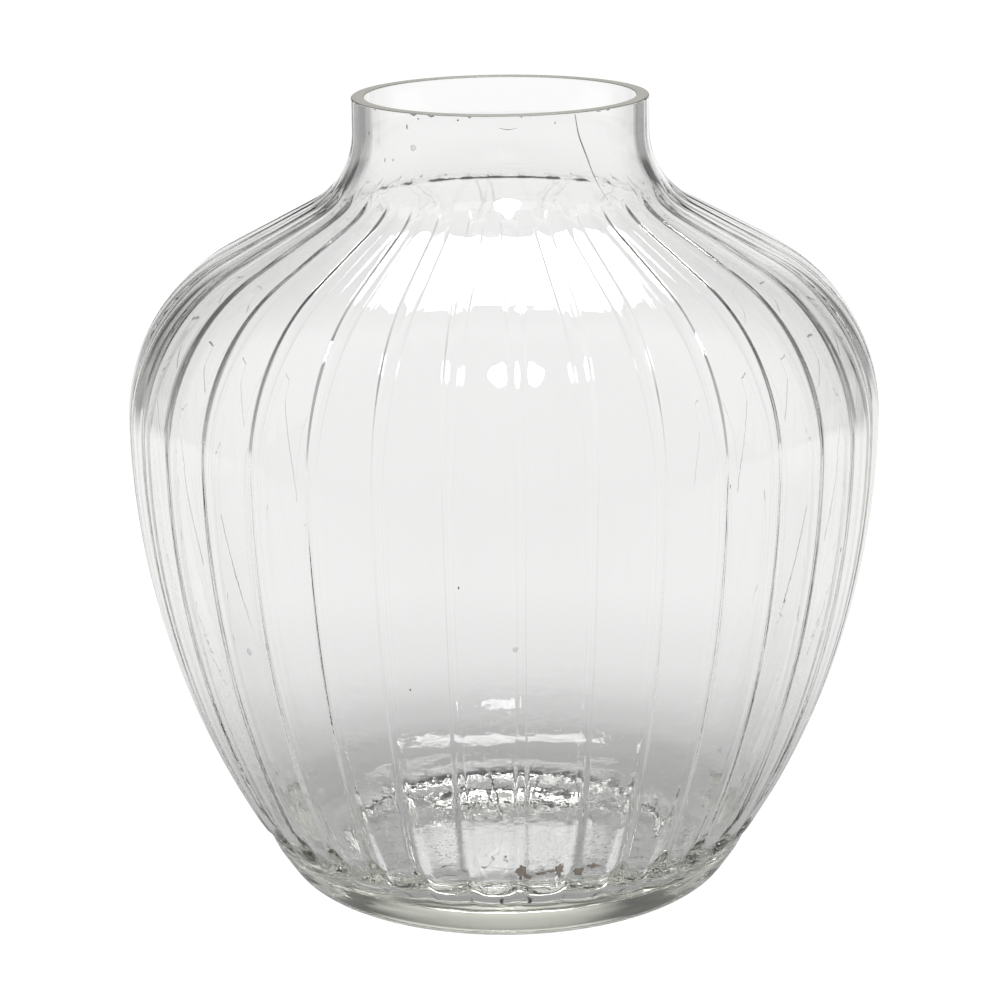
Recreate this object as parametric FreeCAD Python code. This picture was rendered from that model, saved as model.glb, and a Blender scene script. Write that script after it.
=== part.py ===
import FreeCAD, Part
import math
import os

# Ribbed round-bellied glass vase, blown in a mould as one piece of clear glass.
# Frame: millimetres, +Z up, origin at the centre of the foot, on the table.
# The wall is drawn over upright rails that stand round the axis and follow its
# outline. Above and below the grooves there is one rail at each corner where two
# panels meet. Between them each corner gives way to a V groove with three rails.

# Driving dimensions: body
body_diameter = 234.4
belly_height = 151.0
lower_body_radius = 255.0
shoulder_radius = 58.0
shoulder_slope = 27.9
wall_thickness = 4.0

# Driving dimensions: neck
rim_diameter = 91.4
neck_root_radius = 27.0
collar_height = 10.0
rim_bevel = 0.5

# Driving dimensions: base
foot_radius = 12.0
foot_ring_width = 7.0
punt_depth = 3.5
punt_side = 6.0
floor_height = 13.0
floor_corner_radius = 26.0

# Driving dimensions: grooves between the panels
panel_count = 36
groove_width = 4.0
groove_depth = 1.2
groove_start_height = 17.0
plain_neck_height = 26.5

# Worked out from the driving dimensions
full_turn = 360.0
quarter_turn = math.radians(full_turn / 4)
body_radius = body_diameter / 2
rim_radius = rim_diameter / 2
slope = math.radians(shoulder_slope)
shoulder_turn = quarter_turn - slope
round_span = (shoulder_radius + neck_root_radius) * (1 - math.cos(shoulder_turn))
straight_length = (body_radius - rim_radius - round_span) / math.cos(slope)
neck_rise = (shoulder_radius + neck_root_radius) * math.sin(shoulder_turn) + straight_length * math.sin(slope)
collar_bottom = belly_height + neck_rise
overall_height = collar_bottom + collar_height
groove_end_height = overall_height - plain_neck_height
half_pitch = full_turn / panel_count / 2
corner_reach = groove_width / 2 * math.tan(math.radians(half_pitch))
up = FreeCAD.Vector(0, 0, 1)


def flat(radius, height):
    """A point of the half section, in the XZ plane."""
    return FreeCAD.Vector(radius, 0, height)


# Centres of the three round stretches of the wall, shared by its outside and its inside.
lower_centre = flat(body_radius - lower_body_radius, belly_height)
shoulder_centre = flat(body_radius - shoulder_radius, belly_height)
neck_centre = flat(rim_radius + neck_root_radius, collar_bottom)


def arc_point(centre, radius, turn):
    """The point of an arc whose outward direction is turned up from level by an angle."""
    return centre + FreeCAD.Vector(math.cos(turn), 0, math.sin(turn)) * radius


def arc_edge(centre, radius, first, last):
    points = [arc_point(centre, radius, turn) for turn in (first, (first + last) / 2, last)]
    return Part.Arc(*points).toShape()


def start_of(edge):
    return edge.valueAt(edge.FirstParameter)


def end_of(edge):
    return edge.valueAt(edge.LastParameter)


def lower_turn(height, inset):
    """The outward angle of the lower wall at a height."""
    return math.asin((height - belly_height) / (lower_body_radius - inset))


def corner_centre(corner_radius, height, inset):
    """Centre of a corner arc that touches a level plane and runs into the lower wall."""
    reach = lower_body_radius - inset - corner_radius
    rise = belly_height - height - corner_radius
    return flat(lower_centre.x + math.sqrt(reach ** 2 - rise ** 2), height + corner_radius)


def corner_turn(centre):
    """The outward angle at which a corner arc runs into the lower wall."""
    away = centre - lower_centre
    return math.atan2(away.z, away.x)


def neck_turn(height, inset):
    """The inward angle of the hollow neck curve at a height."""
    return math.asin((collar_bottom - height) / (neck_root_radius + inset))


def wall_above(first_turn, inset, top_height):
    """One side of the wall, from an angle on the lower wall up to a height on the neck."""
    lower = arc_edge(lower_centre, lower_body_radius - inset, first_turn, 0)
    shoulder = arc_edge(shoulder_centre, shoulder_radius - inset, 0, shoulder_turn)
    neck = arc_edge(neck_centre, -(neck_root_radius + inset), shoulder_turn, neck_turn(top_height, inset))
    return [lower, shoulder, Part.makeLine(end_of(shoulder), start_of(neck)), neck]


def collar_side(radius, bevel):
    """The upright side of the collar, and the narrow bevel at the ground rim."""
    return Part.makePolygon([
        flat(radius, collar_bottom),
        flat(radius, overall_height - rim_bevel),
        flat(radius + bevel, overall_height)]).Edges


def placed(rail, index, outward, sideways):
    """A copy of a rail, moved outward and sideways and then turned to one of the grooves."""
    copy = Part.Wire(rail).copy()
    copy.translate(FreeCAD.Vector(outward, sideways, 0))
    copy.rotate(FreeCAD.Vector(), up, half_pitch * (2 * index + 1))
    return copy.Edges


def strip(rail_edge, next_edge):
    """The piece of wall between matching edges of two rails."""
    if isinstance(rail_edge.Curve, Part.Line):
        corners = [start_of(rail_edge), end_of(rail_edge), end_of(next_edge), start_of(next_edge)]
        return Part.Face(Part.makePolygon(corners + corners[:1]))
    return Part.makeRuledSurface(rail_edge, next_edge)


def railed_solid(rails):
    """A solid whose wall is drawn over rails that stand round the axis."""
    faces = []
    for rail, following in zip(rails, rails[1:] + rails[:1]):
        faces += [strip(*pair) for pair in zip(rail, following)]
    for outline in ([start_of(rail[0]) for rail in rails], [end_of(rail[-1]) for rail in rails]):
        faces.append(Part.Face(Part.makePolygon(outline + outline[:1])))
    shell = Part.makeShell(faces)
    shell.sewShape()
    solid = Part.Solid(shell)
    return solid if solid.Volume > 0 else solid.reversed()


def corner_rails(outline, outward=0):
    """One rail at each corner between two panels."""
    return [placed(outline, index, outward, 0) for index in range(panel_count)]


def grooved_rails(outline, groove_outline):
    """Both edges of each groove and its bottom."""
    rails = []
    for index in range(panel_count):
        rails.append(placed(outline, index, 0, -groove_width / 2))
        rails.append(placed(groove_outline, index, 0, 0))
        rails.append(placed(outline, index, 0, groove_width / 2))
    return rails


def foot():
    """The plain foot below the grooves, rounded under to the ring that the vase stands on."""
    corner = corner_centre(foot_radius, 0, 0)
    joint = corner_turn(corner)
    side = [
        arc_edge(corner, foot_radius, -quarter_turn, joint),
        arc_edge(lower_centre, lower_body_radius, joint, lower_turn(groove_start_height, 0)),
    ]
    return railed_solid(corner_rails(side, corner_reach))


def panelled_body():
    """The body between foot and neck, with its grooves."""
    outlines = [
        wall_above(lower_turn(groove_start_height, inset), inset, groove_end_height)
        for inset in (0, groove_depth)]
    return railed_solid(grooved_rails(*outlines))


def neck():
    """The plain neck above the grooves, with its collar."""
    curve = arc_edge(neck_centre, -neck_root_radius, neck_turn(groove_end_height, 0), 0)
    return railed_solid(corner_rails([curve] + collar_side(rim_radius, -rim_bevel), corner_reach))


def hollow():
    """The inside from the floor to the rim, with one flat behind each panel."""
    corner = corner_centre(floor_corner_radius, floor_height, wall_thickness)
    joint = corner_turn(corner)
    outline = [arc_edge(corner, floor_corner_radius, -quarter_turn, joint)]
    outline += wall_above(joint, wall_thickness, collar_bottom)
    outline += collar_side(rim_radius - wall_thickness, rim_bevel)
    return railed_solid(corner_rails(outline))


def punt():
    """The shallow hollow under the foot, inside the ring."""
    ring_inside = corner_centre(foot_radius, 0, 0).x - foot_ring_width
    side = Part.makeLine(flat(ring_inside, 0), flat(ring_inside - punt_side, punt_depth))
    return railed_solid(corner_rails([side]))


glass = foot().fuse([panelled_body(), neck()])
vase = glass.cut([hollow(), punt()])

os.makedirs("parts", exist_ok=True)
vase.exportStep("parts/glass_vase.step")
print("overall height", round(overall_height, 2), "widest", round(body_diameter, 2))
print("solids", len(vase.Solids), "valid", vase.isValid(), "glass volume", round(vase.Volume, 1))
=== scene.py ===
"""Looks of the ribbed glass vase: its wall, finishes, marks of use, and the studio round it."""

import logging
import math
import random
from dataclasses import dataclass, field
from enum import Enum

import bmesh
import bpy
from mathutils import Euler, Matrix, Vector


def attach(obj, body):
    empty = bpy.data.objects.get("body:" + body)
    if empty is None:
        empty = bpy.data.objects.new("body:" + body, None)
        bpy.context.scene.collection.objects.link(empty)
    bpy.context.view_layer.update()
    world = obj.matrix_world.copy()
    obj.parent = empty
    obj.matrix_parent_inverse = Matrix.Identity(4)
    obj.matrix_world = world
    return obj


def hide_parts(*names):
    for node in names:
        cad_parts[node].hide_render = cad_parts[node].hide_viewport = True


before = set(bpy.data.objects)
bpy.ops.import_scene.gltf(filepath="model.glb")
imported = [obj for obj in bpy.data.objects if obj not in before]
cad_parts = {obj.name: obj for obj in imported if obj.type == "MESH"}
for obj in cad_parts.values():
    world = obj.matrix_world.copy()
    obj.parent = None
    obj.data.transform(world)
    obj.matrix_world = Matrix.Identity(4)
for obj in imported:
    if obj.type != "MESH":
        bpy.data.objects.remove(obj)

LOG = logging.getLogger("vase")
MM = 0.001
FULL_TURN = 2 * math.pi
QUARTER_TURN = math.pi / 2
GLASS_INDEX = 1.5
WHITE = (1, 1, 1, 1)
SHARES = ("groove", "spread", "ripple", "lobe", "soft")

Pair = tuple[float, float]
Route = tuple[Pair, ...]
Colour = tuple[float, float, float, float]
Socket = bpy.types.NodeSocket


def held(share: float) -> float:
    """A share, held between none and full."""
    return max(0.0, min(1.0, share))


def eased(share: float) -> float:
    """A share, held between none and full, that starts and ends softly."""
    share = held(share)
    return share * share * (3 - 2 * share)


@dataclass(frozen=True)
class WallPoint:
    """A point of the half section, and how the mould and the cooling shaped the glass there."""

    radius: float
    height: float
    groove: float
    spread: float
    ripple: float
    lobe: float = 0.0
    soft: float = 0.0


@dataclass(frozen=True)
class Steps:
    """How finely each stretch of one side of the wall is divided, from the foot upwards."""

    corner: int
    lower: int
    shoulder: int
    slope: int
    neck: int


@dataclass
class HalfSection:
    """The half section of the vase, from the middle of its underside over the rim to its floor.

    The spread knots give half the width of a groove at heights on the wall, in millimetres.
    """

    body_radius: float = 117.2 * MM
    belly_height: float = 151.0 * MM
    lower_radius: float = 255.0 * MM
    shoulder_radius: float = 58.0 * MM
    shoulder_slope: float = math.radians(27.9)
    rim_radius: float = 45.7 * MM
    neck_root_radius: float = 27.0 * MM
    height: float = 250.03 * MM
    collar_height: float = 10.0 * MM
    wall: float = 4.0 * MM
    rim_bevel: float = 0.5 * MM
    rim_land: float = 0.2 * MM
    rim_steps: int = 4
    foot_radius: float = 12.0 * MM
    foot_ring: float = 7.0 * MM
    punt_depth: float = 3.5 * MM
    punt_side: float = 6.0 * MM
    punt_dome: float = 1.5 * MM
    floor_height: float = 13.0 * MM
    floor_corner: float = 34.0 * MM
    floor_dome: float = -2.5 * MM
    floor_shares: tuple[float, ...] = (0.85, 0.6, 0.35, 0.15, 0.0)
    side_shares: tuple[float, ...] = (0.0, 0.15, 0.35, 0.6, 0.8, 0.93, 1.0)
    groove_start: float = 19.0 * MM
    groove_end: float = 223.5 * MM
    groove_fades: Pair = (3.0 * MM, 4.0 * MM)
    inner_fades: Pair = (20.0 * MM, 10.0 * MM)
    inner_share: float = 0.05
    inner_spread: float = 2.2
    spread_knots: Route = (
        (14, 3.0), (22, 2.6), (36, 2.2), (70, 1.6), (110, 1.3), (125, 1.3), (150, 1.5),
        (185, 2.4), (205, 2.7), (224, 2.2))
    waist_height: float = 17.0 * MM
    waist_depth: float = 1.6 * MM
    waist_spread: float = 2.2 * MM
    lobe_height: float = 23.5 * MM
    lobe_spread: float = 3.8 * MM
    soft_bottom: float = 30.0 * MM
    soft_top: float = 110.0 * MM
    least_ripple: float = 0.04
    body_ripple: float = 0.5
    body_ripple_top: float = 125.0 * MM
    body_ripple_fade: float = 70.0 * MM
    base_ripple: float = 0.6
    base_ripple_top: float = 62.0 * MM
    base_ripple_fade: float = 24.0 * MM
    ripple_start: float = 13.0 * MM
    ripple_rise: float = 12.0 * MM
    lower_grading: float = 1.45
    outer_steps: Steps = Steps(10, 31, 20, 3, 15)
    inner_steps: Steps = Steps(18, 12, 12, 2, 19)

    def arc(
        self, centre: Vector, radius: float, first: float, last: float, steps: int,
        grading: float = 1.0,
    ) -> list[Vector]:
        """Points along an arc.

        Args:
            centre: centre of the arc in the section's plane.
            radius: radius of the arc, negative where the arc is hollow.
            first: outward angle at its first point.
            last: outward angle at its last point.
            steps: number of points after the first.
            grading: over 1 where the points crowd towards the first.

        Returns:
            The points, both ends included.
        """
        turns = [first + (last - first) * (step / steps) ** grading for step in range(steps + 1)]
        return [centre + Vector((math.cos(turn), math.sin(turn))) * radius for turn in turns]

    def lower_centre(self) -> Vector:
        """Centre of the long curve below the belly."""
        return Vector((self.body_radius - self.lower_radius, self.belly_height))

    def corner_centre(self, corner: float, height: float, inset: float) -> Vector:
        """Centre of the arc that leads from a level plane into the lower wall.

        Args:
            corner: radius of that arc.
            height: height of the level plane.
            inset: distance in from the outside of the wall.

        Returns:
            The centre in the section's plane.
        """
        reach = self.lower_radius - inset - corner
        rise = self.belly_height - height - corner
        across = math.sqrt(reach ** 2 - rise ** 2)
        return Vector((self.lower_centre().x + across, height + corner))

    def upright(self, inset: float, corner: float, base: float, steps: Steps) -> list[Vector]:
        """One side of the wall from its lower corner up to the collar.

        Args:
            inset: distance in from the outside of the wall.
            corner: radius of the corner at its foot.
            base: height of the level plane that the corner starts from.
            steps: how finely each stretch is divided.

        Returns:
            The points from the foot upwards.
        """
        centre = self.corner_centre(corner, base, inset)
        away = centre - self.lower_centre()
        joint = math.atan2(away.y, away.x)
        shoulder = Vector((self.body_radius - self.shoulder_radius, self.belly_height))
        neck = Vector((self.rim_radius + self.neck_root_radius, self.height - self.collar_height))
        turn = QUARTER_TURN - self.shoulder_slope
        points = self.arc(centre, corner, -QUARTER_TURN, joint, steps.corner)
        points += self.arc(
            self.lower_centre(), self.lower_radius - inset, joint, 0, steps.lower,
            self.lower_grading)[1:]
        points += self.arc(shoulder, self.shoulder_radius - inset, 0, turn, steps.shoulder)[1:]
        above = self.arc(neck, -(self.neck_root_radius + inset), turn, 0, steps.neck)
        slope = [points[-1].lerp(above[0], step / steps.slope) for step in range(1, steps.slope)]
        return points + slope + above

    def groove_at(self, height: float, fades: Pair) -> float:
        """How far the grooves are formed at a height, by the lengths over which they fade."""
        ends = ((height - self.groove_start) / fades[0], (self.groove_end - height) / fades[1])
        return math.prod(eased(share) for share in ends)

    def spread_at(self, height: float) -> float:
        """Half the width of a groove at a height."""
        knots = self.spread_knots
        for (low, first), (high, second) in zip(knots, knots[1:]):
            if height <= high * MM:
                share = max(0.0, (height / MM - low) / (high - low))
                return (first + (second - first) * share) * MM
        return knots[-1][1] * MM

    def ripple_at(self, height: float) -> float:
        """How strongly the chilled glass ripples at a height, most of all round the base."""
        body = held((self.body_ripple_top - height) / self.body_ripple_fade)
        base = held((self.base_ripple_top - height) / self.base_ripple_fade)
        foot = held((height - self.ripple_start) / self.ripple_rise)
        return self.least_ripple + (self.body_ripple * body + self.base_ripple * base) * foot

    def lobe_at(self, height: float) -> float:
        """How much the lower ends of the panels stand out as round lobes at a height."""
        offset = (height - self.lobe_height) / self.lobe_spread
        return math.exp(-offset * offset)

    def soft_at(self, height: float) -> float:
        """How far the grooves are softened, from crisp above the belly to soft at the foot."""
        return eased((self.soft_top - height) / (self.soft_top - self.soft_bottom))

    def waisted(self, point: Vector) -> Vector:
        """A point of the outside, drawn in below the round lower ends of the panels."""
        offset = (point.y - self.waist_height) / self.waist_spread
        return Vector((point.x - self.waist_depth * math.exp(-offset * offset), point.y))

    def outside(self, point: Vector) -> WallPoint:
        """A point of the outside, with its groove, its ripple and its lobe."""
        height = point.y
        return WallPoint(
            point.x, height, self.groove_at(height, self.groove_fades), self.spread_at(height),
            self.ripple_at(height), self.lobe_at(height), self.soft_at(height))

    def inside(self, point: Vector) -> WallPoint:
        """A point of the inside, which follows the grooves faintly and more widely."""
        height = point.y
        return WallPoint(
            point.x, height, self.groove_at(height, self.inner_fades) * self.inner_share,
            self.spread_at(height) * self.inner_spread, self.ripple_at(height))

    def level(self, reach: float, height: float, dome: float) -> list[Vector]:
        """Points in to the axis over a low dome, or over a dish where its rise is negative."""
        return [
            Vector((reach * share, height + dome * (1 - share * share) ** 2))
            for share in self.floor_shares]

    def underside(self) -> list[Vector]:
        """The hollow under the foot, from the axis out to the ring that the vase stands on."""
        ring_inside = self.corner_centre(self.foot_radius, 0, 0).x - self.foot_ring
        edge = ring_inside - self.punt_side
        side = [
            Vector((edge + self.punt_side * share, self.punt_depth * (1 - eased(share))))
            for share in self.side_shares]
        return self.level(edge, self.punt_depth, self.punt_dome)[::-1] + side

    def rim(self) -> list[Vector]:
        """The ground rim, from its outside over both rounded edges to its inside."""
        bore = self.rim_radius - self.wall
        edge = self.height - self.rim_bevel
        outer = Vector((self.rim_radius - self.rim_bevel, edge))
        inner = Vector((bore + self.rim_bevel, edge))
        return [
            Vector((self.rim_radius, edge - self.rim_land)),
            *self.arc(outer, self.rim_bevel, 0, QUARTER_TURN, self.rim_steps),
            *self.arc(inner, self.rim_bevel, QUARTER_TURN, math.pi, self.rim_steps),
            Vector((bore, edge - self.rim_land))]

    def points(self) -> list[WallPoint]:
        """All points, from the axis under the foot to the axis on the floor."""
        outer = self.upright(0, self.foot_radius, 0, self.outer_steps)
        inner = self.upright(self.wall, self.floor_corner, self.floor_height, self.inner_steps)
        floor = self.level(inner[0].x, self.floor_height, self.floor_dome)
        outer = self.underside() + [self.waisted(point) for point in outer] + self.rim()
        return [self.outside(point) for point in outer] + [
            self.inside(point) for point in inner[::-1] + floor]


class TreeBuilder:
    """Adds nodes to a tree and joins them."""

    def __init__(self, tree: bpy.types.NodeTree) -> None:
        """Keeps the tree that the nodes go into."""
        self.tree = tree

    def add(self, kind: str, **settings: object) -> bpy.types.Node:
        """Adds a node and sets its properties."""
        node = self.tree.nodes.new(kind)
        for name, value in settings.items():
            setattr(node, name, value)
        return node

    def feed(self, socket: Socket, value: object) -> None:
        """Joins another node's output to a socket, or sets the socket's own value."""
        if isinstance(value, Socket):
            self.tree.links.new(value, socket)
        else:
            socket.default_value = value

    def filled(self, node: bpy.types.Node, **values: object) -> Socket:
        """Feeds a node's inputs, by their names with _ for a space, and gives its first output."""
        for name, value in values.items():
            self.feed(node.inputs[name.replace("_", " ")], value)
        return node.outputs[0]

    def math(self, operation: str, *values: object) -> Socket:
        """Adds a maths node."""
        node = self.add("ShaderNodeMath", operation=operation)
        for socket, value in zip(node.inputs, values):
            self.feed(socket, value)
        return node.outputs[0]

    def plus(self, first: object, second: object) -> Socket:
        """The sum of two values."""
        return self.math("ADD", first, second)

    def minus(self, first: object, second: object) -> Socket:
        """The difference of two values."""
        return self.math("SUBTRACT", first, second)

    def times(self, first: object, *others: object) -> Socket:
        """The product of two or more values."""
        for other in others:
            first = self.math("MULTIPLY", first, other)
        return first

    def over(self, first: object, second: object) -> Socket:
        """A value divided by another."""
        return self.math("DIVIDE", first, second)

    def scaled(self, vector: Socket, scale: object) -> Socket:
        """A vector, lengthened by a scale."""
        node = self.add("ShaderNodeVectorMath", operation="SCALE")
        return self.filled(node, Vector=vector, Scale=scale)

    def parts(self, vector: Socket) -> bpy.types.NodeOutputs:
        """The X, Y and Z of a vector."""
        node = self.add("ShaderNodeSeparateXYZ")
        self.feed(node.inputs[0], vector)
        return node.outputs

    def ramp(self, value: object, limits: Pair, levels: tuple[object, object]) -> Socket:
        """A level that passes softly between two levels as a value passes between its limits."""
        node = self.add("ShaderNodeMapRange", interpolation_type="SMOOTHSTEP")
        return self.filled(
            node, Value=value, From_Min=limits[0], From_Max=limits[1], To_Min=levels[0],
            To_Max=levels[1])


class WallTree(TreeBuilder):
    """The rule that turns the half section round the axis and presses the grooves into it.

    The columns of the mesh crowd towards the grooves. On each side of a groove's middle the
    first column spans its floor and the next ones its side, and the rest share out the panel.
    """

    kinds: dict[type, str] = {int: "Int", float: "Float", bpy.types.Material: "Material"}
    floor_columns: float = 1.0
    side_columns: float = 4.0
    groove_room: float = 1.6
    least_radius: float = 1 * MM
    merge_distance: float = 0.001 * MM
    calm_foot: float = 5 * MM
    calm_rim: float = 6 * MM
    ground_depth: float = 0.3 * MM

    def __init__(self, wall: "RibbedWall", inputs: dict[str, object]) -> None:
        """Starts the tree.

        Args:
            wall: the wall whose groove forms it follows.
            inputs: its named inputs with their values.
        """
        super().__init__(bpy.data.node_groups.new("ribbed_wall", "GeometryNodeTree"))
        self.wall = wall
        face = self.tree.interface
        face.new_socket("Half section", in_out="INPUT", socket_type="NodeSocketGeometry")
        for name, value in inputs.items():
            kind = f"NodeSocket{self.kinds[type(value)]}"
            face.new_socket(name, in_out="INPUT", socket_type=kind)
        face.new_socket("Wall", in_out="OUTPUT", socket_type="NodeSocketGeometry")
        self.given = self.add("NodeGroupInput").outputs

    def whole(self, operation: str, *values: object) -> Socket:
        """Adds a maths node for whole numbers."""
        node = self.add("FunctionNodeIntegerMath", operation=operation)
        for socket, value in zip(node.inputs, values):
            self.feed(socket, value)
        return node.outputs[0]

    def mixed(self, share: Socket, first: object, second: object) -> Socket:
        """A value between two others, by a share."""
        return self.plus(self.times(self.minus(1.0, share), first), self.times(share, second))

    def named(self, name: str) -> Socket:
        """A named value of the points."""
        return self.filled(
            self.add("GeometryNodeInputNamedAttribute", data_type="FLOAT"), Name=name)

    def own(self, kind: str) -> Socket:
        """What each point is or has, such as its position or its normal."""
        return self.add(f"GeometryNodeInput{kind}").outputs[0]

    def sampled(self, row: Socket, kind: str, value: Socket) -> Socket:
        """A value, of a data type, read from the half section's point for each row."""
        node = self.add("GeometryNodeSampleIndex", data_type=kind, domain="POINT")
        return self.filled(node, Geometry=self.given["Half section"], Value=value, Index=row)

    def stored(self, mesh: Socket, kind: str, name: str, value: Socket) -> Socket:
        """A mesh that carries a named value, of a data type, on its points."""
        node = self.add("GeometryNodeStoreNamedAttribute", data_type=kind, domain="POINT")
        return self.filled(node, Geometry=mesh, Name=name, Value=value)

    def layout(
        self, column: Socket, radius: Socket, shares: dict[str, Socket],
    ) -> tuple[Socket, Socket]:
        """Where each column stands, and how far the mould pressed the wall in there.

        Args:
            column: number of the column.
            radius: radius of the plain wall.
            shares: the half section's values for each row.

        Returns:
            The column's turn round the axis, and the depth to which it is pressed in.
        """
        wall, given, columns = self.wall, self.given, self.given["Columns to a panel"]
        half_groove = self.floor_columns + self.side_columns
        across = self.over(column, columns)
        nearest = self.math("ROUND", across)
        offset = self.minus(across, nearest)
        step = self.times(self.math("ABSOLUTE", offset), columns)
        pitch = self.over(FULL_TURN, given["Panels"])
        half = self.times(pitch, 0.5)

        wide = self.over(shares["spread"], self.math("MAXIMUM", radius, self.least_radius))
        wide = self.math("MINIMUM", wide, self.over(half, self.groove_room))
        soft = shares["soft"]
        floor_share = self.mixed(soft, wall.groove_floor, wall.soft_floor)
        lip_share = self.mixed(soft, wall.groove_lip, wall.soft_lip)
        floor = self.times(self.math("MINIMUM", step, self.floor_columns), floor_share)
        climb = self.math("MAXIMUM", self.minus(step, self.floor_columns), 0.0)
        climb = self.over(self.math("MINIMUM", climb, self.side_columns), self.side_columns)
        reach = self.plus(floor, self.times(climb, self.minus(lip_share, floor_share)))
        rest = self.minus(self.over(columns, 2.0), half_groove)
        flat = self.over(self.math("MAXIMUM", self.minus(step, half_groove), 0.0), rest)
        panel = self.minus(half, self.times(wide, lip_share))
        aside = self.plus(self.times(reach, wide), self.times(flat, panel))
        turn = self.plus(self.times(aside, self.math("SIGN", offset)), given["Groove turn"])
        turn = self.plus(self.times(nearest, pitch), turn)

        squareness = self.mixed(soft, given["Groove squareness"], wall.soft_squareness)
        bell = self.math("EXPONENT", self.times(self.math("POWER", reach, squareness), -1.0))
        bell = self.times(bell, self.math("LESS_THAN", step, half_groove + 0.5))
        cut = self.times(bell, shares["groove"], given["Groove depth"])
        inward = self.minus(1.0, self.over(aside, half))
        crease = self.times(inward, inward, given["Lobe depth"], shares["lobe"])
        return turn, self.plus(cut, crease)

    def placed(self, mesh: Socket, turn: Socket, radius: Socket, height: Socket) -> Socket:
        """A mesh whose points stand round the axis, each by its turn, its radius and its height."""
        place = self.filled(
            self.add("ShaderNodeCombineXYZ"), X=self.times(radius, self.math("COSINE", turn)),
            Y=self.times(radius, self.math("SINE", turn)), Z=height)
        return self.filled(self.add("GeometryNodeSetPosition"), Geometry=mesh, Position=place)

    def waved(self, mesh: Socket) -> Socket:
        """A mesh whose wall waves slowly, as the glass flowed, apart from its foot and rim."""
        given = self.given
        noise = self.filled(
            self.add("ShaderNodeTexNoise", noise_dimensions="4D"), Vector=self.own("Position"),
            W=given["Seed"], Scale=self.over(1.0, given["Wave size"]), Detail=1.0)
        rise = self.times(self.minus(noise, 0.5), given["Wave height"], self.named("ripple"))
        height = self.parts(self.own("Position"))["Z"]
        above = self.math("GREATER_THAN", height, self.calm_foot)
        below = self.math("LESS_THAN", height, self.minus(given["Rim height"], self.calm_rim))
        return self.filled(
            self.add("GeometryNodeSetPosition"), Geometry=mesh,
            Selection=self.times(above, below), Offset=self.scaled(self.own("Normal"), rise))

    def dressed(self, mesh: Socket) -> Socket:
        """A smooth mesh in clear glass, with its ground rim."""
        given = self.given
        mesh = self.filled(self.add("GeometryNodeSetShadeSmooth"), Geometry=mesh)
        mesh = self.filled(self.add("GeometryNodeRealizeInstances"), Geometry=mesh)
        mesh = self.filled(
            self.add("GeometryNodeSetMaterial"), Geometry=mesh, Material=given["Clear glass"])
        height = self.parts(self.own("Position"))["Z"]
        edge = self.minus(given["Rim height"], self.ground_depth)
        return self.filled(
            self.add("GeometryNodeSetMaterial"), Geometry=mesh,
            Selection=self.math("GREATER_THAN", height, edge), Material=given["Ground rim"])

    def finished(self) -> bpy.types.NodeTree:
        """Adds all nodes, from the half section to the dressed wall."""
        given = self.given
        rows = self.filled(
            self.add("GeometryNodeAttributeDomainSize", component="MESH"),
            Geometry=given["Half section"])
        columns = self.whole("MULTIPLY", given["Panels"], given["Columns to a panel"])
        grid = self.filled(
            self.add("GeometryNodeMeshGrid"), Vertices_X=self.whole("ADD", columns, 1),
            Vertices_Y=rows)
        index = self.own("Index")
        row = self.whole("MODULO", index, rows)
        column = self.whole("DIVIDE_FLOOR", index, rows)
        place = self.parts(self.sampled(row, "FLOAT_VECTOR", self.own("Position")))
        shares = {name: self.sampled(row, "FLOAT", self.named(name)) for name in SHARES}
        radius, height = place["X"], place["Z"]
        turn, press = self.layout(column, radius, shares)
        mesh = self.placed(grid, turn, radius, height)
        mesh = self.stored(mesh, "FLOAT_VECTOR", "plain_normal", self.own("Normal"))
        mesh = self.stored(mesh, "FLOAT", "ripple", shares["ripple"])
        mesh = self.placed(mesh, turn, self.minus(radius, press), height)
        mesh = self.filled(
            self.add("GeometryNodeMergeByDistance"), Geometry=mesh, Distance=self.merge_distance)
        self.feed(self.add("NodeGroupOutput").inputs["Wall"], self.dressed(self.waved(mesh)))
        return self.tree


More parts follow.
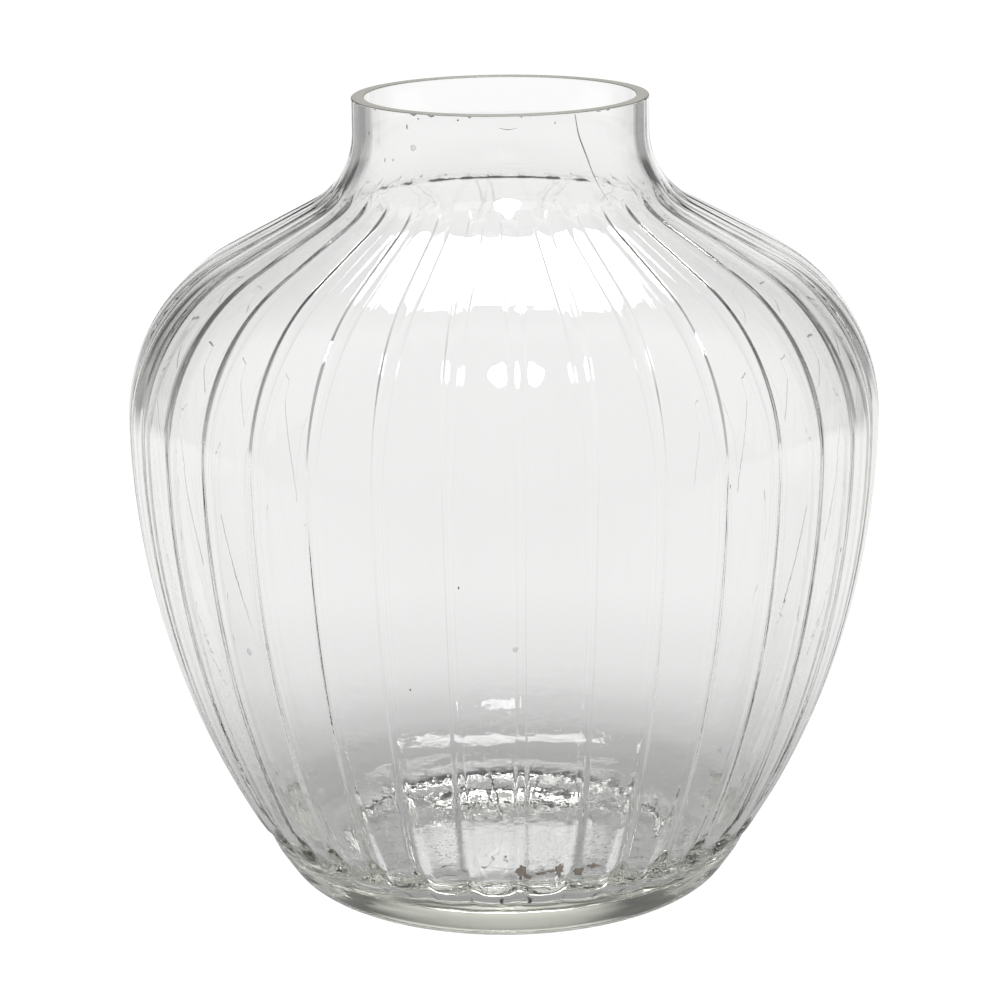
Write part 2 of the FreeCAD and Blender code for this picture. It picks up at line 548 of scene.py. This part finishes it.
@dataclass
class RibbedWall:
    """The whole vase: its half section turned round the axis, with the grooves pressed in."""

    section: HalfSection = field(default_factory=HalfSection)
    panels: int = 36
    columns: int = 16
    groove_floor: float = 0.75
    groove_lip: float = 1.25
    groove_squareness: float = 8.0
    groove_turn: float = math.radians(5)
    groove_depth: float = 0.8 * MM
    lobe_depth: float = 2.0 * MM
    soft_floor: float = 0.3
    soft_lip: float = 1.7
    soft_squareness: float = 3.0
    wave_height: float = 0.1 * MM
    wave_size: float = 22 * MM
    seed: int = 7

    def section_mesh(self) -> bpy.types.Object:
        """The half section as a chain of points that carry the groove's shares."""
        points = self.section.points()
        mesh = bpy.data.meshes.new("half_section")
        places = [(point.radius, 0, point.height) for point in points]
        mesh.from_pydata(places, [(index, index + 1) for index in range(len(points) - 1)], [])
        for name in SHARES:
            values = mesh.attributes.new(name, "FLOAT", "POINT")
            values.data.foreach_set("value", [getattr(point, name) for point in points])
        section = bpy.data.objects.new("glass_vase_wall", mesh)
        bpy.context.scene.collection.objects.link(section)
        return section

    def make(self, glass: bpy.types.Material, rim: bpy.types.Material) -> bpy.types.Object:
        """Builds the wall as a plain mesh.

        Args:
            glass: finish of the clear wall.
            rim: finish of the ground rim.

        Returns:
            The vase's object, at the origin.
        """
        inputs = {
            "Panels": self.panels, "Columns to a panel": self.columns,
            "Groove squareness": self.groove_squareness, "Groove turn": self.groove_turn,
            "Groove depth": self.groove_depth, "Lobe depth": self.lobe_depth,
            "Wave height": self.wave_height, "Wave size": self.wave_size, "Seed": self.seed,
            "Rim height": self.section.height, "Clear glass": glass, "Ground rim": rim}
        wall = self.section_mesh()
        modifier = wall.modifiers.new("ribbed_wall", "NODES")
        modifier.node_group = WallTree(self, inputs).finished()
        for item in modifier.node_group.interface.items_tree:
            if item.item_type == "SOCKET" and item.name in inputs:
                modifier[item.identifier] = inputs[item.name]
        graph = bpy.context.evaluated_depsgraph_get()
        made = bpy.data.meshes.new_from_object(wall.evaluated_get(graph))
        wall.modifiers.clear()
        wall.data = made
        return wall


class FinishBuilder(TreeBuilder):
    """A new material with its principled shader, ready to be joined up."""

    def __init__(self, name: str) -> None:
        """Starts a material of that name."""
        self.material = bpy.data.materials.new(name)
        self.material.use_nodes = True
        super().__init__(self.material.node_tree)
        self.shader = self.first("BSDF_PRINCIPLED")
        self.place = self.add("ShaderNodeTexCoord").outputs["Object"]

    def first(self, kind: str) -> bpy.types.Node:
        """The material's first node of a kind."""
        return next(node for node in self.tree.nodes if node.type == kind)

    def set(self, **values: object) -> None:
        """Sets the shader's own values, each by its name with _ for a space."""
        self.filled(self.shader, **values)

    def grain(self, place: Socket, scale: float, detail: float = 2.0) -> Socket:
        """Adds an uneven grain that follows a place, as fine as its scale and its detail."""
        noise = self.add("ShaderNodeTexNoise")
        return self.filled(noise, Vector=place, Scale=scale, Detail=detail)


@dataclass(frozen=True)
class GlassFinish:
    """Clear glass with a faint grey-green tint and the ripple of a chilled mould.

    Light that has already passed one wall meets the far wall as plain round glass, so that the
    far grooves don't clutter the view. The depths are counts of surfaces along its path.
    """

    name: str = "clear_glass"
    tint: Colour = (0.77, 0.79, 0.69, 1.0)
    density: float = 8.0
    ripple_scale: float = 210.0
    ripple_stretch: tuple[float, float, float] = (1.0, 1.0, 1.5)
    ripple_height: float = 1 * MM
    patch_scale: float = 30.0
    patch_limits: Pair = (0.5, 0.68)
    patch_bumps: Pair = (0.05, 0.14)
    near_wall_depth: float = 1.5
    straight_depth: float = 3.5
    far_side_calm: float = 0.95

    def rippled(self, build: FinishBuilder) -> Socket:
        """The ripple: a fine grain, stronger in patches and where the glass chilled."""
        stretched = build.add("ShaderNodeVectorMath", operation="MULTIPLY")
        build.feed(stretched.inputs[0], build.place)
        build.feed(stretched.inputs[1], self.ripple_stretch)
        fine = build.grain(stretched.outputs[0], self.ripple_scale)
        patches = build.grain(build.place, self.patch_scale, 1.0)
        strength = build.ramp(patches, self.patch_limits, self.patch_bumps)
        share = build.add("ShaderNodeAttribute", attribute_name="ripple").outputs["Fac"]
        return build.filled(
            build.add("ShaderNodeBump"), Strength=build.times(share, strength),
            Distance=self.ripple_height, Height=fine)

    def far_wall(self, build: FinishBuilder) -> tuple[Socket, Socket]:
        """How far the far wall is calmed, and the plain wall's normal there."""
        path = build.add("ShaderNodeLightPath").outputs
        passed = build.math("GREATER_THAN", path["Transmission Depth"], self.near_wall_depth)
        straight = build.math("LESS_THAN", path["Ray Depth"], self.straight_depth)
        plain = build.add("ShaderNodeAttribute", attribute_name="plain_normal").outputs["Vector"]
        back = build.add("ShaderNodeNewGeometry").outputs["Backfacing"]
        turned = build.scaled(plain, build.minus(1.0, build.times(back, 2.0)))
        return build.times(passed, straight, self.far_side_calm), turned

    def material(self) -> bpy.types.Material:
        """The finish as a material."""
        build = FinishBuilder(self.name)
        build.set(Base_Color=WHITE, Roughness=0.0, IOR=GLASS_INDEX, Transmission_Weight=1.0)
        calm, plain = self.far_wall(build)
        choice = build.add("ShaderNodeMix", data_type="VECTOR")
        vectors = [socket for socket in choice.inputs if socket.type == "VECTOR"]
        build.feed(choice.inputs["Factor"], calm)
        build.feed(vectors[-2], self.rippled(build))
        build.feed(vectors[-1], plain)
        unit = build.add("ShaderNodeVectorMath", operation="NORMALIZE")
        build.feed(unit.inputs[0], choice.outputs[1])
        build.set(Normal=unit.outputs[0])
        tinted = build.filled(
            build.add("ShaderNodeVolumeAbsorption"), Color=self.tint, Density=self.density)
        build.feed(build.first("OUTPUT_MATERIAL").inputs["Volume"], tinted)
        return build.material


@dataclass(frozen=True)
class GroundRimFinish:
    """The rim, ground flat and matt."""

    name: str = "ground_rim"
    colour: Colour = (0.125, 0.12, 0.105, 1.0)
    roughness: float = 0.45
    unevenness: float = 0.15
    grain: float = 900.0

    def material(self) -> bpy.types.Material:
        """The finish as a material."""
        build = FinishBuilder(self.name)
        spread = build.filled(
            build.add("ShaderNodeMapRange"), Value=build.grain(build.place, self.grain),
            To_Min=self.roughness - self.unevenness, To_Max=self.roughness + self.unevenness)
        build.set(Base_Color=self.colour, IOR=GLASS_INDEX, Roughness=spread)
        return build.material


@dataclass(frozen=True)
class DirtFinish:
    """A dry, matt film, uneven in colour."""

    name: str
    pale: Colour
    dark: Colour
    roughness: float = 0.85
    grain: float = 700.0
    cover: float = 1.0

    def material(self) -> bpy.types.Material:
        """The finish as a material."""
        build = FinishBuilder(self.name)
        ramp = build.add("ShaderNodeValToRGB")
        ramp.color_ramp.elements[0].color = self.dark
        ramp.color_ramp.elements[1].color = self.pale
        build.feed(ramp.inputs[0], build.grain(build.place, self.grain))
        build.set(Roughness=self.roughness, Alpha=self.cover, Base_Color=ramp.outputs[0])
        return build.material


class Edge(Enum):
    """How the outline of a patch runs: as round as a drop, or as ragged as dried dirt."""

    ROUND = 0.06
    RAGGED = 0.42


@dataclass(frozen=True)
class Spot:
    """A patch on the outside of the wall.

    Its turn is counted in degrees from the front towards the right, the rest in millimetres.
    """

    turn: float
    height: float
    width: float
    tall: float


@dataclass
class MarksOfUse:
    """Dirt, specks, rim chips painted pale as their glints, and a crack, each laid on the outside
    of the finished wall.

    A route gives turns in degrees from the front and heights in millimetres.
    """

    wall: bpy.types.Object
    seed: int = 11
    sides: int = 18
    film: float = 0.06 * MM
    crown: float = 1.3
    sink: float = 0.05 * MM
    ring_shares: tuple[float, float, float] = (1.0, 0.72, 0.35)
    ribbon_start: float = 0.15
    ribbon_thin: float = 0.25
    crack_width: float = 0.42 * MM
    line_width: float = 0.3 * MM
    hair_width: float = 0.16 * MM
    chip_count: int = 14
    chip_height: float = 249.5
    chip_widths: Pair = (0.5, 1.9)
    chip_heights: Pair = (0.3, 0.7)
    crack_route: Route = (
        (31.6, 249.4), (32.4, 245.6), (33.3, 242.6), (35.0, 239.5), (36.6, 236.3), (37.7, 233.1),
        (39.4, 227.8), (41.0, 223.8))
    line_route: Route = ((3.0, 24.2), (5.0, 23.2), (7.5, 22.6), (10.0, 23.0), (12.6, 23.4))
    hair_route: Route = ((2.4, 246.4), (4.6, 245.9), (7.0, 245.9), (9.3, 246.4))
    dirt: tuple[Spot, ...] = (
        Spot(5.2, 29.2, 3.0, 6.0), Spot(6.6, 27.6, 2.4, 2.2), Spot(9.0, 28.9, 2.6, 1.5),
        Spot(11.2, 29.6, 2.6, 1.6), Spot(12.9, 30.0, 2.4, 6.0), Spot(17.0, 28.6, 3.2, 3.6),
        Spot(19.6, 30.2, 3.0, 1.9))
    specks: tuple[Spot, ...] = (
        Spot(-34.3, 245.7, 0.4, 1.7), Spot(-56.7, 242.0, 0.4, 1.2), Spot(-29.1, 248.4, 0.5, 0.5),
        Spot(-45.5, 235.0, 0.3, 1.3), Spot(-41.1, 235.4, 0.3, 0.9), Spot(-12.9, 248.6, 0.6, 0.5),
        Spot(23.4, 247.3, 0.4, 0.5), Spot(-3.7, 127.4, 0.4, 0.9), Spot(-11.6, 94.7, 0.4, 0.8),
        Spot(63.6, 119.8, 0.4, 1.6))
    drops: tuple[Spot, ...] = (
        Spot(-31.6, 239.6, 2.2, 2.0), Spot(-39.7, 98.4, 2.0, 2.2), Spot(4.1, 108.4, 1.6, 1.8))
    brown: DirtFinish = DirtFinish(
        "brown_dirt", (0.52, 0.46, 0.39, 1), (0.2, 0.165, 0.13, 1), cover=0.8)
    dark: DirtFinish = DirtFinish("dark_specks", (0.12, 0.11, 0.10, 1), (0.04, 0.04, 0.04, 1))
    grey: DirtFinish = DirtFinish(
        "grey_crack_and_chip_glints", (0.42, 0.42, 0.41, 1), (0.12, 0.12, 0.12, 1), 0.35, 500.0)
    dull: DirtFinish = DirtFinish(
        "dried_water", (0.66, 0.66, 0.65, 1), (0.5, 0.5, 0.49, 1), cover=0.22)

    def __post_init__(self) -> None:
        """Starts the marks' own run of random numbers."""
        self.chance = random.Random(self.seed)

    def on_wall(self, turn: float, height: float, lift: float) -> Vector:
        """A point over the outside of the wall.

        Args:
            turn: the way it faces, in degrees from the front.
            height: its height in millimetres.
            lift: how far it stands off the wall.

        Returns:
            The point.
        """
        way = Vector((math.sin(math.radians(turn)), -math.cos(math.radians(turn)), 0))
        start = way + Vector((0, 0, height * MM))
        found, place, facing, _ = self.wall.ray_cast(start, -way)
        if not found:
            raise ValueError(f"no wall at {turn} degrees, {height} mm")
        return place + facing * lift

    def patch(self, shape: bmesh.types.BMesh, spot: Spot, edge: Edge) -> None:
        """Adds one closed patch, thin at its outline and domed in the middle.

        Args:
            shape: the mesh that it goes into.
            spot: where it lies and how large it is.
            edge: how its outline runs.
        """
        radius = self.on_wall(spot.turn, spot.height, 0).xy.length / MM
        outline = []
        for side in range(self.sides):
            way = FULL_TURN * side / self.sides
            reach = 0.5 * (1 + edge.value * self.chance.uniform(-1, 1))
            outline.append((
                math.cos(way) * reach * spot.width / radius, math.sin(way) * reach * spot.tall))
        lifts = (-self.sink, self.film, self.film * self.crown)
        rings = [
            [shape.verts.new(self.on_wall(
                spot.turn + math.degrees(aside) * share, spot.height + rise * share, lift))
                for aside, rise in outline]
            for share, lift in zip(self.ring_shares, lifts)]
        for outer, inner in zip(rings, rings[1:]):
            for side in range(self.sides):
                after = (side + 1) % self.sides
                shape.faces.new((outer[side], outer[after], inner[after], inner[side]))
        shape.faces.new(rings[-1])
        shape.faces.new(list(reversed(rings[0])))

    @staticmethod
    def smoothed(route: Route) -> list[Vector]:
        """Points along the smooth line that a route guides."""
        curve = bpy.data.curves.new("route", "CURVE")
        curve.dimensions = "3D"
        spline = curve.splines.new("NURBS")
        spline.points.add(len(route) - 1)
        for point, (turn, height) in zip(spline.points, route):
            point.co = (turn, height, 0, 1)
        spline.use_endpoint_u = True
        spline.order_u = 3
        spline.resolution_u = 6
        holder = bpy.data.objects.new("route", curve)
        line = bpy.data.meshes.new_from_object(holder)
        stops = [vertex.co.xy for vertex in line.vertices]
        bpy.data.objects.remove(holder)
        bpy.data.meshes.remove(line)
        return stops

    def ribbon(self, shape: bmesh.types.BMesh, route: Route, width: float) -> None:
        """Adds one closed ribbon along a route on the wall, thinner towards its ends.

        Args:
            shape: the mesh that it goes into.
            route: the route that it follows.
            width: its greatest width.
        """
        stops = self.smoothed(route)
        places = [self.on_wall(turn, height, 0) for turn, height in stops]
        rows = []
        for index, ((turn, height), place) in enumerate(zip(stops, places)):
            along = places[min(index + 1, len(places) - 1)] - places[max(index - 1, 0)]
            facing = (self.on_wall(turn, height, self.film) - place).normalized()
            across = along.cross(facing).normalized()
            share = index / (len(stops) - 1)
            share = min(1.0, self.ribbon_start + share * (1 - self.ribbon_start))
            half = 0.5 * width * (
                self.ribbon_thin + (1 - self.ribbon_thin) * math.sin(math.pi * share))
            rows.append([shape.verts.new(place + offset) for offset in (
                across * half - facing * self.sink, facing * self.film,
                -across * half - facing * self.sink)])
        for row, after in zip(rows, rows[1:]):
            for side in range(3):
                other = (side + 1) % 3
                shape.faces.new((row[side], row[other], after[other], after[side]))
        shape.faces.new(list(reversed(rows[0])))
        shape.faces.new(rows[-1])

    def piece(self, name: str, shape: bmesh.types.BMesh, finish: bpy.types.Material) -> None:
        """Turns a mesh into a piece of the vase.

        Args:
            name: name of the piece.
            shape: its mesh.
            finish: its finish.
        """
        bmesh.ops.recalc_face_normals(shape, faces=shape.faces)
        mesh = bpy.data.meshes.new(name)
        shape.to_mesh(mesh)
        shape.free()
        mesh.shade_smooth()
        mesh.materials.append(finish)
        piece = bpy.data.objects.new(name, mesh)
        bpy.context.scene.collection.objects.link(piece)
        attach(piece, "root")
        LOG.info("%s: %d faces", name, len(mesh.polygons))

    def patches(
        self, name: str, spots: tuple[Spot, ...], edge: Edge, finish: bpy.types.Material,
    ) -> None:
        """Makes one piece of several patches."""
        shape = bmesh.new()
        for spot in spots:
            self.patch(shape, spot, edge)
        self.piece(name, shape, finish)

    def line(self, name: str, route: Route, width: float, finish: bpy.types.Material) -> None:
        """Makes one piece of a ribbon."""
        shape = bmesh.new()
        self.ribbon(shape, route, width)
        self.piece(name, shape, finish)

    def chip_glints(self) -> tuple[Spot, ...]:
        """Small chips along the outer edge of the rim, most of them tiny, with their glints painted
        pale.
        """
        return tuple(
            Spot(self.chance.uniform(-180, 180), self.chip_height,
                 self.chance.uniform(*self.chip_widths), self.chance.uniform(*self.chip_heights))
            for _ in range(self.chip_count))

    def make(self) -> None:
        """Builds all marks."""
        brown, dark, grey, dull = (
            finish.material() for finish in (self.brown, self.dark, self.grey, self.dull))
        self.patches("dirt_in_groove_ends", self.dirt, Edge.RAGGED, brown)
        self.line("dirt_line", self.line_route, self.line_width, brown)
        self.line("neck_crack", self.crack_route, self.crack_width, grey)
        self.line("neck_hair_mark", self.hair_route, self.hair_width, dark)
        self.patches("specks", self.specks, Edge.ROUND, dark)
        self.patches("dried_drops", self.drops, Edge.ROUND, dull)
        # Rim chips whose glints are painted into the pale grey finish that the crack shares.
        self.patches("rim_chip_glints", self.chip_glints(), Edge.RAGGED, grey)


class LampShape(Enum):
    """The outline of a softbox, by Blender's own name for it."""

    OBLONG = "RECTANGLE"
    ROUND = "DISK"


@dataclass(frozen=True)
class Softbox:
    """A plain softbox, in metres and watts."""

    name: str
    place: tuple[float, float, float]
    width: float
    height: float
    power: float
    shape: LampShape

    def hang(self, aim: Vector) -> None:
        """Hangs the softbox so that it faces a point."""
        data = bpy.data.lights.new(self.name, "AREA")
        data.shape = self.shape.value
        data.size = self.width
        data.size_y = self.height
        data.energy = self.power
        light = bpy.data.objects.new(self.name, data)
        light.location = self.place
        light.rotation_euler = (Vector(self.place) - aim).to_track_quat("Z", "Y").to_euler()
        light.visible_camera = False
        bpy.context.scene.collection.objects.link(light)


@dataclass
class Studio:
    """The white sweep, the light round it and the camera.

    The glass sees light straight behind it, at its sides and in front, and dark in the two back
    corners, which draws its edges. The camera itself sees floor and room as white.
    """

    distance: float = 0.972
    aim_height: float = 126.7 * MM
    elevation: float = math.radians(15.11)
    turn: float = math.radians(2.85)
    roll: float = math.radians(-0.68)
    focal_pixels: float = 3068.0
    picture_pixels: float = 1000.0
    sensor: float = 36.0
    clip: Pair = (0.05, 50.0)
    aim_pixel: Pair = (504.6, 482.7)
    floor_radius: float = 1.6
    floor_sides: int = 96
    floor_gap: float = 0.5 * MM
    # Painted shade round the vase's foot and a painted pool of light straight under it, as levels
    # by distance from the middle.
    floor_shade_and_light_pool: Route = (
        (0.024, 0.8), (0.038, 0.3), (0.1, 0.48), (0.2, 0.8), (0.3, 0.9), (1.0, 0.94))
    table_corner: Pair = (0.4, 0.7)
    table_front: Pair = (0.15, 0.65)
    white_level: float = 1.05
    front_level: float = 0.6
    top_level: float = 0.5
    side_level: float = 0.35
    dark_level: float = 0.1
    sky_level: float = 0.05
    dark_start: Pair = (-0.02, 0.04)
    back_limits: Pair = (0.88, 0.97)
    front_limits: Pair = (0.2, 0.6)
    top_limits: Pair = (0.7, 0.92)
    sky_limits: Pair = (0.25, 0.6)
    pole_guard: float = 1.0001
    light_aim: tuple[float, float, float] = (0, 0, 0.15)
    softboxes: tuple[Softbox, ...] = (
        Softbox("softbox_above", (0.0, 0.47, 1.25), 0.8, 0.3, 20, LampShape.OBLONG),
        Softbox("softbox_front", (0.1, -0.65, 1.25), 0.3, 0.3, 12, LampShape.ROUND))
    glass_bounces: int = 28
    mirror_bounces: int = 12
    film_bounces: int = 16

    def camera(self) -> None:
        """Stands the camera where the photograph was taken from."""
        data = bpy.data.cameras.new("camera")
        data.sensor_width = self.sensor
        data.lens = self.sensor * self.focal_pixels / self.picture_pixels
        middle = self.picture_pixels / 2
        data.shift_x = (middle - self.aim_pixel[0]) / self.picture_pixels
        data.shift_y = (self.aim_pixel[1] - middle) / self.picture_pixels
        data.clip_start, data.clip_end = self.clip
        camera = bpy.data.objects.new("camera", data)
        level = math.cos(self.elevation)
        away = Vector((
            level * math.sin(self.turn), -level * math.cos(self.turn), math.sin(self.elevation)))
        upright = away.to_track_quat("Z", "Y")
        camera.location = Vector((0, 0, self.aim_height)) + away * self.distance
        camera.rotation_euler = (upright @ Euler((0, 0, self.roll)).to_quaternion()).to_euler()
        bpy.context.scene.collection.objects.link(camera)
        bpy.context.scene.camera = camera

    def shown(self, build: TreeBuilder, level: Socket) -> Socket:
        """A level of light as the glass sees it, held up to white where the camera sees it."""
        seen = build.add("ShaderNodeLightPath").outputs["Is Camera Ray"]
        return build.math("MAXIMUM", level, build.times(seen, self.white_level))

    def floor_finish(self) -> bpy.types.Material:
        """The floor's even light, with the vase's soft shade painted close round its foot and a
        painted pool of light straight under it.
        """
        material = bpy.data.materials.new("white_floor")
        material.use_nodes = True
        material.node_tree.nodes.clear()
        build = TreeBuilder(material.node_tree)
        place = build.add("ShaderNodeTexCoord").outputs["Object"]
        across = build.parts(place)
        length = build.add("ShaderNodeVectorMath", operation="LENGTH")
        build.feed(length.inputs[0], place)
        ramp = build.add("ShaderNodeValToRGB")
        build.feed(ramp.inputs[0], length.outputs["Value"])
        stops = ramp.color_ramp.elements
        while len(stops) < len(self.floor_shade_and_light_pool):
            stops.new(0.5)
        for stop, (distance, level) in zip(stops, self.floor_shade_and_light_pool):
            stop.position = distance
            stop.color = (level, level, level, 1)
        corner = build.math(
            "MINIMUM", build.math("ABSOLUTE", across["X"]), build.math("MAXIMUM", across["Y"], 0.0))
        aside = build.ramp(corner, self.table_corner, (1, self.side_level))
        before = build.ramp(
            build.times(across["Y"], -1.0), self.table_front, (1, self.front_level))
        light = build.filled(
            build.add("ShaderNodeEmission"), Color=WHITE,
            Strength=self.shown(build, build.times(ramp.outputs[0], aside, before)))
        build.feed(build.add("ShaderNodeOutputMaterial").inputs["Surface"], light)
        return material

    def floor(self) -> None:
        """A plain white floor, just under the foot."""
        mesh = bpy.data.meshes.new("floor")
        shape = bmesh.new()
        bmesh.ops.create_circle(
            shape, cap_ends=True, segments=self.floor_sides, radius=self.floor_radius)
        shape.to_mesh(mesh)
        shape.free()
        mesh.materials.append(self.floor_finish())
        floor = bpy.data.objects.new("floor", mesh)
        floor.location.z = -self.floor_gap
        bpy.context.scene.collection.objects.link(floor)

    def world(self) -> None:
        """The light that reaches the glass from all sides."""
        world = bpy.data.worlds.new("studio")
        bpy.context.scene.world = world
        world.use_nodes = True
        world.node_tree.nodes.clear()
        build = TreeBuilder(world.node_tree)
        way = build.parts(build.add("ShaderNodeTexCoord").outputs["Generated"])
        rise = way["Z"]
        flat = build.math("SQRT", build.minus(self.pole_guard, build.times(rise, rise)))
        behind = build.over(way["Y"], flat)
        backdrop = build.ramp(behind, self.back_limits, (0.0, 1.0))
        above = build.ramp(rise, self.sky_limits, (1.0, self.sky_level))
        low = build.ramp(rise, self.dark_start, (self.side_level, self.dark_level))
        sides = build.math("MAXIMUM", build.times(backdrop, above), low)
        ahead = build.ramp(behind, self.front_limits, (1.0, 0.0))
        overhead = build.ramp(rise, self.top_limits, (0.0, 1.0))
        kept = build.times(sides, build.minus(1.0, build.math("MAXIMUM", ahead, overhead)))
        added = build.math(
            "MAXIMUM", build.times(ahead, self.front_level), build.times(overhead, self.top_level))
        sky = build.filled(
            build.add("ShaderNodeBackground"), Color=WHITE,
            Strength=self.shown(build, build.plus(kept, added)))
        build.feed(build.add("ShaderNodeOutputWorld").inputs["Surface"], sky)

    def rendering(self) -> None:
        """Colour and light paths that clear glass needs."""
        scene = bpy.context.scene
        scene.view_settings.view_transform = "Standard"
        scene.view_settings.look = "None"
        scene.cycles.max_bounces = self.glass_bounces
        scene.cycles.transmission_bounces = self.glass_bounces
        scene.cycles.glossy_bounces = self.mirror_bounces
        scene.cycles.transparent_max_bounces = self.film_bounces
        scene.cycles.use_denoising = True

    def make(self) -> None:
        """Builds the studio."""
        self.camera()
        self.floor()
        self.world()
        for softbox in self.softboxes:
            softbox.hang(Vector(self.light_aim))
        self.rendering()


def main() -> None:
    """Builds the vase and the studio in order."""
    logging.basicConfig(level=logging.INFO)
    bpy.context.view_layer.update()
    glass = GlassFinish().material()
    rim = GroundRimFinish().material()
    wall = RibbedWall().make(glass, rim)
    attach(wall, "root")
    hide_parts("glass_vase")
    LOG.info("%s: %d faces", wall.name, len(wall.data.polygons))
    MarksOfUse(wall).make()
    Studio().make()


if __name__ == "__main__":
    main()
